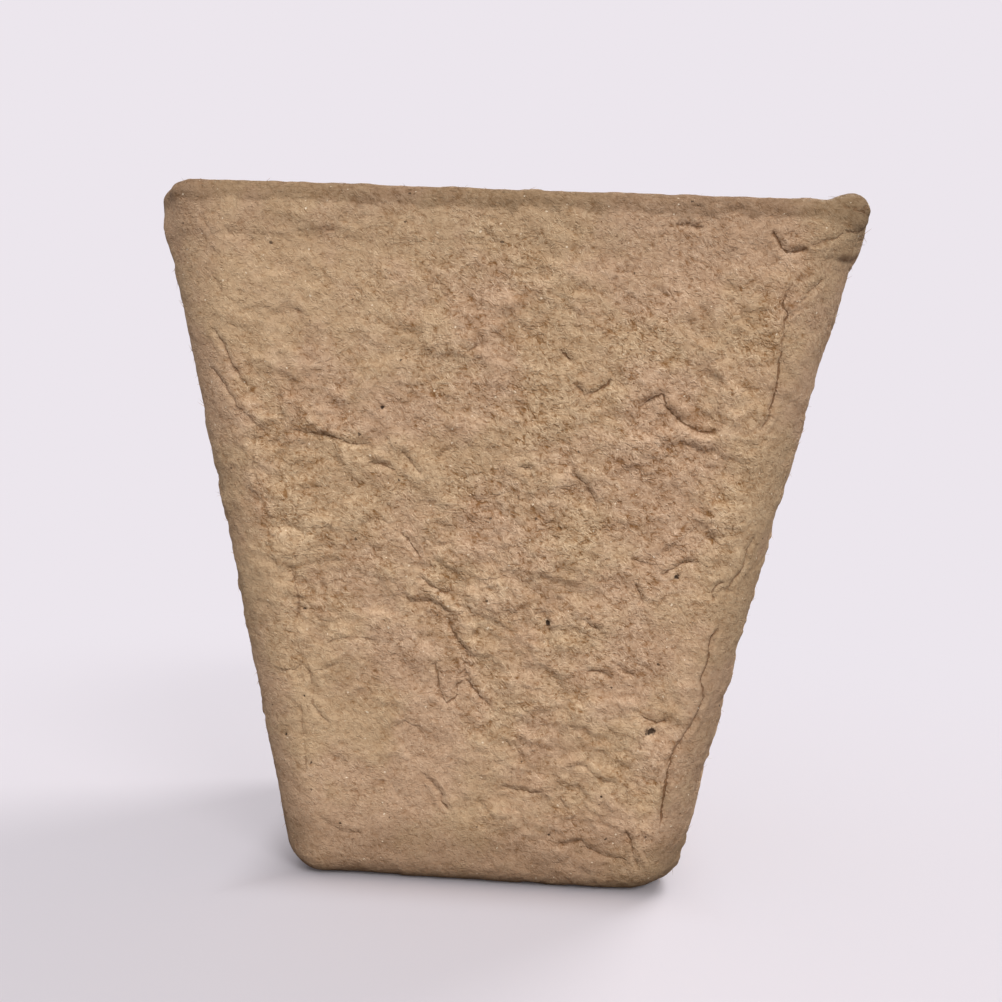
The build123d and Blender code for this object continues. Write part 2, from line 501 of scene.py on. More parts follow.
front_pits = {
    "big_pit": (0.66, (651, 733)), "centre_pit": (0.34, (548, 624)), "right_pit": (0.34, (677, 577)),
    "upper_pit": (0.36, (414, 366)), "left_pit": (0.26, (382, 408)), "high_pit": (0.28, (472, 324)),
    "rim_pit": (0.16, (390, 261)), "corner_pit": (0.20, (304, 696)), "edge_pit": (0.20, (285, 735)),
    "low_pit": (0.18, (311, 763)), "foot_pit": (0.16, (340, 824)), "base_pit": (0.20, (549, 837)),
    "small_pit": (0.18, (729, 272)), "side_pit": (0.20, (601, 797)), "shelf_pit": (0.16, (604, 577)),
    "upper_left_pit": (0.26, (407, 309)), "speck_pit": (0.17, (405, 389)), "bump_pit": (0.26, (304, 610)),
    "edge_spot": (0.18, (263, 547)), "slant_pit": (0.17, (457, 577)), "wrinkle_pit": (0.17, (393, 599)),
    "slash_pit": (0.17, (506, 743)),
}
print(len(front_cracks), "cracks and", len(front_pits), "pits traced")

# %% Walk the cracks of the other walls
crack_levels, crack_spread = (0.1, 0.92), (-0.95, 0.95)
crack_slants, slant_spread, swerve_spread = [-50, -35, 5, 40], 18, 0.5
crack_depths = (0.3, 0.9)
crack_points_least, crack_points_most = 3, 9
crack_step = 1.5 * millimetre
crack_rng = np.random.default_rng(7)
walked_count = 38


def walked_cracks(side, rng, count):
    """Seeded cracks for a wall that the photograph doesn't show: short slanting walks on its outside."""
    for _ in range(count):
        height = rng.uniform(*crack_levels) * pot_height
        across = rng.uniform(*crack_spread) * half_flat(height)
        heading = math.radians(rng.choice(crack_slants) + rng.normal(0, slant_spread))
        depth = rng.uniform(*crack_depths)
        trail = []
        for _ in range(rng.integers(crack_points_least, crack_points_most)):
            place = Vector((across, -half_width(height), height))
            trail.append(np.array(Matrix.Rotation(side * math.pi / 2, 3, "Z") @ place))
            swerve = heading + rng.normal(0, swerve_spread)
            across += math.cos(swerve) * crack_step
            height += math.sin(swerve) * crack_step
        yield depth, trail


crack_lines = [(depth, [onto_pot(pixel) for pixel in pixels]) for depth, pixels in front_cracks.values()]
for side in (1, 2, 3):
    crack_lines.extend(walked_cracks(side, crack_rng, walked_count))
print(len(front_cracks), "traced and", len(crack_lines) - len(front_cracks), "walked cracks")

# %% Lay the cracks as splines
crack_curve = bpy.data.curves.new("cracks", "CURVE")
crack_curve.dimensions = "3D"
for depth, trail in crack_lines:
    spline = crack_curve.splines.new("POLY")
    spline.points.add(len(trail) - 1)
    for point, place in zip(spline.points, trail):
        point.co = (*place, 1)
        point.radius = depth
cracks = bpy.data.objects.new("cracks", crack_curve)
bpy.context.scene.collection.objects.link(cracks)
print("crack curve:", len(crack_curve.splines), "splines")

# %% [markdown]
# Pits are small and dark, and a grid of 0.3 mm would blur them. So each point stores the vector from the
# nearest pit, in pit radii: a vector like that changes evenly over the surface, and the finish cuts a crisp
# edge from it.

# %% Measure the pits
far_off = 9.0
pit_offset = np.full(points.shape, far_off)
pit_gap = np.full(points.shape[:2], far_off)
for radius, pixel in front_pits.values():
    offset = (points - onto_pot(pixel)) / (radius * millimetre)
    gap = np.linalg.norm(offset, axis=2)
    pit_offset[gap < pit_gap] = offset[gap < pit_gap]
    pit_gap = np.minimum(pit_gap, gap)
print(int((pit_gap < 1).sum()), "grid points lie in pits")

# %% [markdown]
# The blank now goes into a mesh. Blender's own arrays are filled straight from numpy, which is much quicker
# than adding over half a million points one by one, and what was measured goes along as attributes.

# %% Put the blank into a mesh
station_ids = np.arange(station_count)[:, None]
ring_ids = np.arange(ring_cells)[None, :]


def point_ids(station, step):
    """The grid's point numbers, closed both ways."""
    return (station % station_count) * ring_cells + step % ring_cells


def quads(station, step):
    """The four corners of grid cells, in the order that faces them outwards."""
    corners = [(0, 0), (0, 1), (1, 1), (1, 0)]
    return np.stack([point_ids(station + a, step + b) for a, b in corners], -1).reshape(-1, 4)


def mesh_of(name, places, faces):
    """A mesh from arrays, with every face smooth."""
    mesh = bpy.data.meshes.new(name)
    mesh.vertices.add(len(places))
    mesh.vertices.foreach_set("co", np.ascontiguousarray(places, np.float32).ravel())
    mesh.loops.add(faces.size)
    mesh.loops.foreach_set("vertex_index", faces.astype(np.int32).ravel())
    mesh.polygons.add(len(faces))
    mesh.polygons.foreach_set("loop_start", np.arange(0, faces.size, 4, dtype=np.int32))
    mesh.update(calc_edges=True)
    mesh.shade_smooth()
    return mesh


def store(mesh, name, kind, values):
    """Keeps one value or vector for each point of a mesh."""
    field = "vector" if kind == "FLOAT_VECTOR" else "value"
    made = mesh.attributes.new(name, kind, "POINT")
    made.data.foreach_set(field, np.ascontiguousarray(values, np.float32).ravel())


def stored(mesh, name, width=1):
    """Reads such values back as an array."""
    values = np.empty(len(mesh.vertices) * width, np.float32)
    mesh.attributes[name].data.foreach_get("vector" if width == 3 else "value", values)
    return values.reshape(-1, width) if width > 1 else values


blank_mesh = mesh_of("blank", points.reshape(-1, 3), quads(station_ids, ring_ids))
store(blank_mesh, "out", "FLOAT_VECTOR", outward)
store(blank_mesh, "live", "FLOAT", live)
# The corner attribute carries the painted shade of the corners and the knob.
store(blank_mesh, "corner", "FLOAT", painted_corner_shade)
store(blank_mesh, "pit", "FLOAT_VECTOR", pit_offset)
store(blank_mesh, "inside", "FLOAT", np.repeat(share_inside, ring_cells))
blank = bpy.data.objects.new("blank", blank_mesh)
bpy.context.scene.collection.objects.link(blank)
print("blank mesh:", len(blank_mesh.polygons), "quads")

# %% [markdown]
# ## The relief of pressed pulp
# Real pulp makes soft pillows a few millimetres wide with narrow valleys between them, smaller lumps on top,
# and cracks with a raised lip. It could be sculpted, but a rule covers the whole pot evenly and stays easy to
# change, so a Geometry Nodes tree presses it. Noise that steps where it crosses its middle gives the pillows
# and their valleys, and finer noise gives the lumps. The tree also keeps what it measured, so that the finish
# can paint light onto the raised pulp and shade into the valleys. The helpers come first: both kinds of node
# tree are built from the same small steps.


# %% Helpers for node trees
def add_node(tree, kind, inputs=None, **settings):
    """Adds a node with its settings. An input gets a link if its value is a socket, or else the value."""
    made = tree.nodes.new(kind)
    for name, value in settings.items():
        setattr(made, name, value)
    for key, value in (inputs or {}).items():
        if isinstance(value, bpy.types.NodeSocket):
            tree.links.new(value, made.inputs[key])
        else:
            made.inputs[key].default_value = value
    return made


def calc(tree, operation, *values):
    """One step of arithmetic."""
    return add_node(tree, "ShaderNodeMath", dict(enumerate(values)), operation=operation).outputs[0]


def product(tree, value, *others):
    """Several values multiplied, one after another."""
    for other in others:
        value = calc(tree, "MULTIPLY", value, other)
    return value


def total(tree, value, *others):
    """Several values added, one after another."""
    for other in others:
        value = calc(tree, "ADD", value, other)
    return value


def vector_calc(tree, operation, *values, output="Vector"):
    """One step of arithmetic on vectors."""
    made = add_node(tree, "ShaderNodeVectorMath", dict(enumerate(values)), operation=operation)
    return made.outputs[output]


def scaled(tree, vector, factor):
    """A vector times a number."""
    made = add_node(tree, "ShaderNodeVectorMath", {0: vector, "Scale": factor}, operation="SCALE")
    return made.outputs[0]


def remap(tree, value, low, high, to_low=0.0, to_high=1.0):
    """Maps a range onto another, smoothly and held at both ends."""
    inputs = {"Value": value, "From Min": low, "From Max": high, "To Min": to_low, "To Max": to_high}
    return add_node(tree, "ShaderNodeMapRange", inputs, interpolation_type="SMOOTHSTEP").outputs[0]


# %% Helpers for patterns
pulp_slant = math.radians(-22)
middle, middle_colour = 0.5, (0.5, 0.5, 0.5)


def noise(tree, place, size, detail=2.0, roughness=0.5, output="Fac"):
    """Noise whose features are about this size, from 0 to 1."""
    scale = calc(tree, "DIVIDE", 1.0, size)
    inputs = {"Vector": place, "Scale": scale, "Detail": detail, "Roughness": roughness}
    return add_node(tree, "ShaderNodeTexNoise", inputs).outputs[output]


def centred(tree, value):
    """A value from 0 to 1, moved to lie about zero."""
    return calc(tree, "SUBTRACT", value, middle)


def drift(tree, place, size, detail=2.0, roughness=0.5):
    """A vector about zero that wanders with features of about this size."""
    colour = noise(tree, place, size, detail, roughness, output="Color")
    return vector_calc(tree, "SUBTRACT", colour, middle_colour)


def bell(tree, gap, width):
    """A bell curve that falls off over a width."""
    share = calc(tree, "DIVIDE", gap, width)
    return calc(tree, "EXPONENT", product(tree, share, share, -1.0))


def slanting(tree, place, squeeze):
    """Coordinates in which features come out long, slanting from upper left to lower right on the front."""
    inputs = {"Vector": place, "Angle": pulp_slant}
    turned = add_node(tree, "ShaderNodeVectorRotate", inputs, rotation_type="Y_AXIS").outputs[0]
    return vector_calc(tree, "MULTIPLY", turned, (1.0, 1.0, squeeze))


def new_group(name, kind, inputs, outputs):
    """A node group with named sockets; returns the tree with its input sockets and its output node."""
    tree = bpy.data.node_groups.new(name, kind)
    for label, socket, default in inputs:
        made = tree.interface.new_socket(label, in_out="INPUT", socket_type=socket)
        if default is not None:
            made.default_value = default
    for label, socket in outputs:
        tree.interface.new_socket(label, in_out="OUTPUT", socket_type=socket)
    given = tree.nodes.new("NodeGroupInput").outputs
    return tree, given, tree.nodes.new("NodeGroupOutput")


def named(tree, label, kind="FLOAT"):
    """A value that a geometry keeps for each point."""
    return add_node(tree, "GeometryNodeInputNamedAttribute", {"Name": label}, data_type=kind).outputs[0]


def keep(tree, geometry, label, value):
    """Stores a value for each point of a geometry."""
    inputs = {"Geometry": geometry, "Name": label, "Value": value}
    made = add_node(tree, "GeometryNodeStoreNamedAttribute", inputs, data_type="FLOAT", domain="POINT")
    return made.outputs[0]


# %% Build the relief tree
relief, given, result = new_group(
    "Pulp relief", "GeometryNodeTree",
    [
        ("Geometry", "NodeSocketGeometry", None),
        ("Cracks", "NodeSocketObject", None),
        ("Finish", "NodeSocketMaterial", None),
        ("Blister size", "NodeSocketFloat", 6.0),
        ("Blister height", "NodeSocketFloat", 0.42),
        ("Flake size", "NodeSocketFloat", 2.7),
        ("Flake height", "NodeSocketFloat", 0.21),
        ("Lump size", "NodeSocketFloat", 1.2),
        ("Lump height", "NodeSocketFloat", 0.12),
        ("Patch size", "NodeSocketFloat", 20.0),
        ("Crack width", "NodeSocketFloat", 0.32),
        ("Crack depth", "NodeSocketFloat", 0.28),
        ("Lip height", "NodeSocketFloat", 0.07),
        ("Crack wander", "NodeSocketFloat", 0.8),
        ("Ledge height", "NodeSocketFloat", 0.10),
    ],
    [("Geometry", "NodeSocketGeometry")],
)
relief_squeeze = 1.4
position = add_node(relief, "GeometryNodeInputPosition").outputs[0]
place = scaled(relief, position, 1 / millimetre)
squat = slanting(relief, place, relief_squeeze)
print("relief tree:", len(relief.interface.items_tree), "sockets")

# %% Swell the pillows
blister_edge, flake_edge = 0.07, 0.10
flake_drift, flake_step, flake_groove = 0.9, 0.15, 0.3
groove_offset, groove_patch, groove_shown = (50.0, 20.0, 10.0), 1.6, (0.42, 0.60)
patch_found, patch_vigour = (0.35, 0.65), (0.6, 1.3)


def flaking(size, height, edge):
    """Flakes of pulp: swellings that end in a step with a narrow valley along it. Gives height and valley."""
    wandering = scaled(relief, drift(relief, squat, size), product(relief, size, flake_drift))
    drifted = vector_calc(relief, "ADD", squat, wandering)
    swing = calc(relief, "MULTIPLY_ADD", noise(relief, drifted, size, detail=2.5), 2.0, -1.0)
    step = product(relief, calc(relief, "TANH", calc(relief, "DIVIDE", swing, edge)), flake_step)
    elsewhere = vector_calc(relief, "ADD", squat, groove_offset)
    patches = noise(relief, elsewhere, product(relief, size, groove_patch), detail=1.0)
    valley = product(relief, bell(relief, swing, edge), remap(relief, patches, *groove_shown))
    flaked = calc(relief, "MULTIPLY_ADD", valley, -flake_groove, total(relief, swing, step))
    return product(relief, flaked, height), valley


blister, blister_valley = flaking(given["Blister size"], given["Blister height"], blister_edge)
flake, flake_valley = flaking(given["Flake size"], given["Flake height"], flake_edge)
lump = centred(relief, noise(relief, place, given["Lump size"], detail=1.5))
lump = product(relief, lump, given["Lump height"])
patch = noise(relief, place, given["Patch size"], detail=1.0)
vigour = product(relief, remap(relief, patch, *patch_found, *patch_vigour), named(relief, "live"))
swelling = product(relief, total(relief, blister, flake, lump), vigour)
valley_shade = product(relief, calc(relief, "MAXIMUM", blister_valley, flake_valley), vigour)
print("relief tree:", len(relief.nodes), "nodes swell the pillows")

# %% [markdown]
# A crack is a spline, so the tree turns it into close points, each knowing how deep the crack is there, and
# every point of the skin asks for the nearest of them. The distance gives a valley with a raised lip, and the
# side gives a low ledge. The asking point is shaken by noise first, which makes the line ragged.

# %% Find the nearest crack
crack_spacing, crack_taper = 0.2 * millimetre, 0.09
wander_size = 0.9
inputs = {"Object": given["Cracks"]}
crack_info = add_node(relief, "GeometryNodeObjectInfo", inputs, transform_space="ORIGINAL").outputs
inputs = {"Curve": crack_info["Geometry"], "Length": crack_spacing}
crack_fine = add_node(relief, "GeometryNodeResampleCurve", inputs, mode="LENGTH").outputs[0]
along_crack = add_node(relief, "GeometryNodeSplineParameter").outputs["Factor"]
crack_ends = product(relief, along_crack, calc(relief, "SUBTRACT", 1.0, along_crack))
crack_radius = add_node(relief, "GeometryNodeInputRadius").outputs[0]
crack_bite = product(relief, remap(relief, crack_ends, 0.0, crack_taper), crack_radius)
crack_kept = keep(relief, crack_fine, "bite", crack_bite)
crack_points = add_node(relief, "GeometryNodeCurveToPoints", {"Curve": crack_kept}, mode="EVALUATED").outputs

wander = scaled(relief, drift(relief, place, wander_size, 3.0, 0.6), given["Crack wander"])
wandered = vector_calc(relief, "ADD", position, scaled(relief, wander, millimetre))
inputs = {"Geometry": crack_points["Points"], "Sample Position": wandered}
nearest = add_node(relief, "GeometryNodeSampleNearest", inputs, domain="POINT").outputs["Index"]


def at_nearest(value, kind="FLOAT_VECTOR"):
    """A value at the nearest point of the cracks."""
    inputs = {"Geometry": crack_points["Points"], "Value": value, "Index": nearest}
    return add_node(relief, "GeometryNodeSampleIndex", inputs, data_type=kind, domain="POINT").outputs[0]


out_way = named(relief, "out", "FLOAT_VECTOR")
from_crack = vector_calc(relief, "SUBTRACT", wandered, at_nearest(position))
from_crack = scaled(relief, from_crack, 1 / millimetre)
off_surface = vector_calc(relief, "DOT_PRODUCT", out_way, from_crack, output="Value")
from_crack = vector_calc(relief, "SUBTRACT", from_crack, scaled(relief, out_way, off_surface))
crack_gap = vector_calc(relief, "LENGTH", from_crack, output="Value")
sideways = vector_calc(relief, "CROSS_PRODUCT", out_way, at_nearest(crack_points["Tangent"]))
crack_side = vector_calc(relief, "DOT_PRODUCT", sideways, from_crack, output="Value")
print("relief tree:", len(relief.nodes), "nodes find the nearest crack")

# %% Open the cracks and dent the pits
same_wall, crack_near = (2.0, 3.0), (0.5, 1.0)
lip_place, ledge_edge, ledge_reach = 2.2, 0.25, 1.5
pit_slope, pit_depth = (0.6, 1.6), 0.35
outside = calc(relief, "SUBTRACT", 1.0, named(relief, "inside"))
on_wall = remap(relief, calc(relief, "ABSOLUTE", off_surface), *same_wall, 1.0, 0.0)
bite = product(relief, at_nearest(named(relief, "bite"), "FLOAT"), outside, on_wall)
near_crack = product(relief, bite, remap(relief, crack_gap, *crack_near, 1.0, 0.0))
valley = product(relief, bell(relief, crack_gap, given["Crack width"]), given["Crack depth"])
lip_gap = calc(relief, "SUBTRACT", crack_gap, product(relief, given["Crack width"], lip_place))
lip = product(relief, bell(relief, lip_gap, given["Crack width"]), given["Lip height"])
upper_side = calc(relief, "TANH", calc(relief, "DIVIDE", crack_side, ledge_edge))
upper_side = product(relief, upper_side, add_node(relief, "ShaderNodeSeparateXYZ", {0: sideways}).outputs[2])
ledge = product(relief, upper_side, bell(relief, crack_gap, ledge_reach), given["Ledge height"])
cracked = product(relief, total(relief, calc(relief, "SUBTRACT", lip, valley), ledge), bite)
from_pit = vector_calc(relief, "LENGTH", named(relief, "pit", "FLOAT_VECTOR"), output="Value")
pit_dent = remap(relief, from_pit, *pit_slope, -pit_depth, 0.0)
rise = total(relief, swelling, cracked, pit_dent)
print("relief tree:", len(relief.nodes), "nodes with the cracks and pits")

# %% Move the skin and keep what was measured
lowest_place = (-1.0, -1.0, 0.0)
lifted = scaled(relief, out_way, product(relief, rise, millimetre))
moved = vector_calc(relief, "ADD", position, lifted)
above_ground = vector_calc(relief, "MAXIMUM", moved, lowest_place)
inputs = {"Geometry": given["Geometry"], "Position": above_ground}
kept = add_node(relief, "GeometryNodeSetPosition", inputs).outputs[0]
measures = {
    "height_mm": swelling, "valley": valley_shade, "crack_side_mm": crack_side, "crack_bite": near_crack,
}
for label, value in measures.items():
    kept = keep(relief, kept, label, value)
kept = add_node(relief, "GeometryNodeRealizeInstances", {"Geometry": kept}).outputs[0]
inputs = {"Geometry": kept, "Material": given["Finish"]}
kept = add_node(relief, "GeometryNodeSetMaterial", inputs).outputs[0]
relief.links.new(kept, result.inputs[0])
print("relief tree:", len(relief.nodes), "nodes in all")

# %% [markdown]
# ## The finish of felted fibre
# Close up the pulp is a felt of short fibres, mostly slanting one way, in tan with redder and yellower
# drifts. Fibres lie along the surface, so they are drawn on a UV map in millimetres, while the drifts run
# through the material and read object coordinates. One node group draws a layer of strokes, and the finish
# uses it several times with other slants and lengths.

# %% Draw a layer of fibre strokes
strokes, given, result = new_group(
    "Fibre strokes", "ShaderNodeTree",
    [
        ("Vector", "NodeSocketVector", None),
        ("Slant", "NodeSocketFloat", 0.0),
        ("Length", "NodeSocketFloat", 1.6),
        ("Width", "NodeSocketFloat", 0.2),
        ("Share", "NodeSocketFloat", 0.6),
    ],
    [("Mask", "NodeSocketFloat"), ("Tone", "NodeSocketFloat")],
)
stroke_bend_size, stroke_bend = 2.2, 0.7
stroke_body = (0.22, 0.42)
swing = drift(strokes, given["Vector"], stroke_bend_size, detail=1.0)
bent = vector_calc(strokes, "ADD", given["Vector"], scaled(strokes, swing, stroke_bend))
inputs = {"Vector": bent, "Angle": given["Slant"]}
turned = add_node(strokes, "ShaderNodeVectorRotate", inputs, rotation_type="Z_AXIS").outputs[0]
inputs = {0: given["Length"], 1: given["Width"], 2: 1.0}
cell_size = add_node(strokes, "ShaderNodeCombineXYZ", inputs).outputs[0]
inputs = {"Vector": vector_calc(strokes, "DIVIDE", turned, cell_size), "Scale": 1.0}
cells = add_node(strokes, "ShaderNodeTexVoronoi", inputs, voronoi_dimensions="2D").outputs
luck = add_node(strokes, "ShaderNodeSeparateColor", {0: cells["Color"]}).outputs
body = remap(strokes, cells["Distance"], *stroke_body, 1.0, 0.0)
drawn = calc(strokes, "LESS_THAN", luck[0], given["Share"])
strokes.links.new(product(strokes, body, drawn), result.inputs["Mask"])
strokes.links.new(luck[1], result.inputs["Tone"])
print("stroke group:", len(strokes.nodes), "nodes")

# %% [markdown]
# Between the fibres the surface is crumbly: short crooked nicks, dark above and bright below where light
# catches their lower edge. A second group draws them, and the finish both dents them and darkens them with
# painted shade. Noise crosses its middle value along winding lines, so a narrow bell round that value is a
# thin crooked line, and a second noise breaks the line into short nicks.

# %% Draw a layer of nicks
nicks, given, result = new_group(
    "Nicks", "ShaderNodeTree",
    [
        ("Vector", "NodeSocketVector", None),
        ("Size", "NodeSocketFloat", 1.0),
        ("Width", "NodeSocketFloat", 0.06),
    ],
    [("Mask", "NodeSocketFloat")],
)
break_offset, break_size, break_shown = (17.0, 43.0, 29.0), 0.7, (0.48, 0.66)
swing = noise(nicks, given["Vector"], given["Size"], detail=1.0, output="Color")
bent = vector_calc(nicks, "ADD", given["Vector"], scaled(nicks, swing, given["Size"]))
line = calc(nicks, "MULTIPLY_ADD", noise(nicks, bent, given["Size"], detail=1.0), 2.0, -1.0)
line = bell(nicks, line, given["Width"])
elsewhere = vector_calc(nicks, "ADD", given["Vector"], break_offset)
broken = noise(nicks, elsewhere, product(nicks, given["Size"], break_size), detail=1.0)
nicks.links.new(product(nicks, line, remap(nicks, broken, *break_shown)), result.inputs["Mask"])
print("nick group:", len(nicks.nodes), "nodes")

# %% [markdown]
# The finish puts the layers together. All of them push one value, the tone, up or down, and the tone then
# picks a colour between dark and pale pulp: that keeps the pulp one material, however many layers it has.
# Drifts of colour come next, then a darker band along the rim and painted shade along the corners and the
# foot, and last the cracks, darkened with painted shade, the pits and the specks.

# %% Choose the colours
pulp_pale = (0.66, 0.478, 0.331, 1)
pulp_dark = (0.228, 0.112, 0.045, 1)
pulp_rosy = (1.0, 0.985, 0.985, 1)
pulp_straw = (1.0, 1.018, 0.955, 1)
rim_brown = (0.61, 0.59, 0.565, 1)
# Painted shade on the corners and the rim's knob, and at the foot
painted_shade_at_corners = (0.76, 0.76, 0.75, 1)
painted_shade_at_foot = (0.72, 0.70, 0.68, 1)
# Painted shade in the cracks
painted_shade_in_cracks = (0.165, 0.080, 0.036, 1)
fleck_dark = (0.050, 0.030, 0.019, 1)
glint_pale = (0.92, 0.80, 0.62, 1)


def blend(tree, share, first, second, mode="MIX"):
    """Mixes two colours."""
    made = add_node(tree, "ShaderNodeMix", {0: share, 6: first, 7: second}, data_type="RGBA", blend_type=mode)
    return made.outputs[2]


def attribute(tree, label, output="Fac"):
    """A value that the mesh keeps, read by the finish."""
    return add_node(tree, "ShaderNodeAttribute", attribute_name=label).outputs[output]


# %% Find the tone of the felt
middle_tone, stroke_middle, stroke_fluff = 0.545, 0.42, 0.5
grit_weight, grain_weight, cloud_weight = 0.60, 0.50, 0.34
# Painted light and shade that follow the relief: raised pulp is painted lighter, low pulp and valleys darker.
painted_relief_weight, valley_shade_weight = 0.20, 0.10
finish_squeeze = 1.35
live_found, live_contrast = (0.3, 1.5), (0.7, 1.35)
contrast_offset, contrast_size = (5.0, 11.0, 23.0), 7.0
contrast_found, contrast_given = (0.35, 0.65), (0.75, 1.12)
# Size, width, offset and weight of the painted shade
nick_layers = [(0.7, 0.20, 0.0, 0.15), (1.2, 0.13, 60.0, 0.19), (2.1, 0.08, 120.0, 0.20)]
# Slant in degrees, length, width, share and weight
stroke_layers = [
    (52, 1.3, 0.15, 0.30, 0.60), (24, 1.0, 0.14, 0.28, 0.55), (82, 0.9, 0.14, 0.25, 0.52),
    (-40, 0.9, 0.14, 0.25, 0.52), (0, 1.1, 0.14, 0.25, 0.52),
]


def layered(tree, tone, felt, place):
    """Adds the nicks and strokes to a tone, and gives their masks as well: the nicks lower the tone as
    painted shade.
    """
    nicked, fluff = 0.0, 0.0
    squat = slanting(tree, place, finish_squeeze)
    for size, width, offset, weight in nick_layers:
        shifted = vector_calc(tree, "ADD", squat, (offset, 0.0, offset))
        inputs = {"Vector": shifted, "Size": size, "Width": width}
        mask = add_node(tree, "ShaderNodeGroup", inputs, node_tree=nicks).outputs["Mask"]
        # Painted shade in the nicks
        tone = calc(tree, "MULTIPLY_ADD", mask, -weight, tone)
        nicked = calc(tree, "MAXIMUM", mask, nicked)
    for slant, length, width, share, weight in stroke_layers:
        inputs = {
            "Vector": felt, "Slant": math.radians(slant), "Length": length, "Width": width, "Share": share,
        }
        made = add_node(tree, "ShaderNodeGroup", inputs, node_tree=strokes).outputs
        paler = calc(tree, "SUBTRACT", made["Tone"], stroke_middle)
        tone = calc(tree, "MULTIPLY_ADD", product(tree, made["Mask"], paler), weight, tone)
        fluff = calc(tree, "MULTIPLY_ADD", made["Mask"], stroke_fluff, fluff)
    return tone, nicked, fluff


def contrast_here(tree, place):
    """How strongly the layers show: more where the pulp is lively, and varied in patches."""
    contrast = remap(tree, attribute(tree, "live"), *live_found, *live_contrast)
    patch = noise(tree, vector_calc(tree, "ADD", place, contrast_offset), contrast_size)
    return product(tree, contrast, remap(tree, patch, *contrast_found, *contrast_given))


def felt_tone(tree, felt, place, noises):
    """The tone of the felt from 0 to 1, with what its bumps need: nicks, fluff and contrast."""
    grit, grain, cloud = (centred(tree, value) for value in noises)
    tone = product(tree, grit, grit_weight)
    tone = calc(tree, "MULTIPLY_ADD", grain, grain_weight, tone)
    tone = calc(tree, "MULTIPLY_ADD", cloud, cloud_weight, tone)
    tone, nicked, fluff = layered(tree, tone, felt, place)
    contrast = contrast_here(tree, place)
    tone = calc(tree, "MULTIPLY_ADD", tone, contrast, middle_tone)
    # Painted light and shade from the relief
    tone = calc(tree, "MULTIPLY_ADD", attribute(tree, "height_mm"), painted_relief_weight, tone)
    tone = calc(tree, "MULTIPLY_ADD", attribute(tree, "valley"), -valley_shade_weight, tone)
    return add_node(tree, "ShaderNodeClamp", {0: tone}).outputs[0], nicked, fluff, contrast


print(len(nick_layers), "layers of nicks and", len(stroke_layers), "of strokes")

# %% Tint the pulp, darken the rim band, and paint shade on the corners and the foot
stain_offset, stain_size, stain_found = (31.0, 7.0, 3.0), 14.0, (0.40, 0.60)
stain_edge = 2.5
band_level, foot_level = pot_height / millimetre - 2.2, 8.0
band_sharp, band_soft = (band_level - 0.5, band_level + 0.3), (band_level - 6.0, band_level - 1.5)
band_soft_share = 0.22
# Painted shade at the foot, where the heel turns under, away from the light.
foot_range = (foot_level - 3.0, foot_level + 2.0)
streak_stretch, streak_found, streak_given = (0.2, 0.2, 2.0), (0.3, 0.7), (0.65, 1.1)


def tinted_and_shaded(tree, colour, place, cloud):
    """Rosy and straw drifts all over, a darker band along the rim, and painted shade on the corners and at
    the foot.
    """
    drifting = noise(tree, vector_calc(tree, "ADD", place, stain_offset), stain_size, 4.0, 0.6)
    tint = blend(tree, remap(tree, drifting, *stain_found), pulp_straw, pulp_rosy)
    colour = blend(tree, 1.0, colour, tint, "MULTIPLY")
    rise = add_node(tree, "ShaderNodeSeparateXYZ", {0: place}).outputs[2]
    uneven = calc(tree, "MULTIPLY_ADD", centred(tree, cloud), stain_edge, rise)
    streak = noise(tree, vector_calc(tree, "MULTIPLY", place, streak_stretch), 1.0, roughness=0.6)
    streak = remap(tree, streak, *streak_found, *streak_given)
    band = product(tree, remap(tree, uneven, *band_sharp), streak)
    band = calc(tree, "MULTIPLY_ADD", remap(tree, uneven, *band_soft), band_soft_share, band)
    foot = remap(tree, uneven, *foot_range, 1.0, 0.0)
    # The corners and the foot get painted shade; the rim band is simply darker.
    darkened_places = ((attribute(tree, "corner"), painted_shade_at_corners), (band, rim_brown), (foot, painted_shade_at_foot))
    for share, brown in darkened_places:
        colour = blend(tree, share, colour, blend(tree, 1.0, colour, brown, "MULTIPLY"))
    return colour


print("rim band from", round(band_sharp[0], 1), "mm, foot up to", foot_range[1], "mm")

# %% Paint shade into the cracks, and draw the pits and specks
crack_ragged, crack_edge, crack_shade_strength = 0.5, (0.02, 0.17), 0.85
crack_break, crack_faint = (0.36, 0.56), 0.45
pit_ragged, pit_edge = 2.0, (0.75, 1.1)
speck_bend = 0.35
# Cell size, largest radius, power, strength and colour
speck_layers = [(5.0, 0.20, 4.0, 0.75, fleck_dark), (2.3, 0.12, 3.0, 0.55, glint_pale)]


def crack_mask(tree, grain, cloud):
    """The line of each crack, with a ragged edge and faint stretches: painted dark as shade in the crack, and
    dented into the bump.
    """
    side = calc(tree, "ABSOLUTE", attribute(tree, "crack_side_mm"))
    ragged = calc(tree, "MULTIPLY_ADD", centred(tree, grain), crack_ragged, side)
    line = product(tree, remap(tree, ragged, *crack_edge, 1.0, 0.0), attribute(tree, "crack_bite"))
    line = product(tree, line, remap(tree, cloud, *crack_break, crack_faint, 1.0))
    return calc(tree, "MINIMUM", line, 1.0)


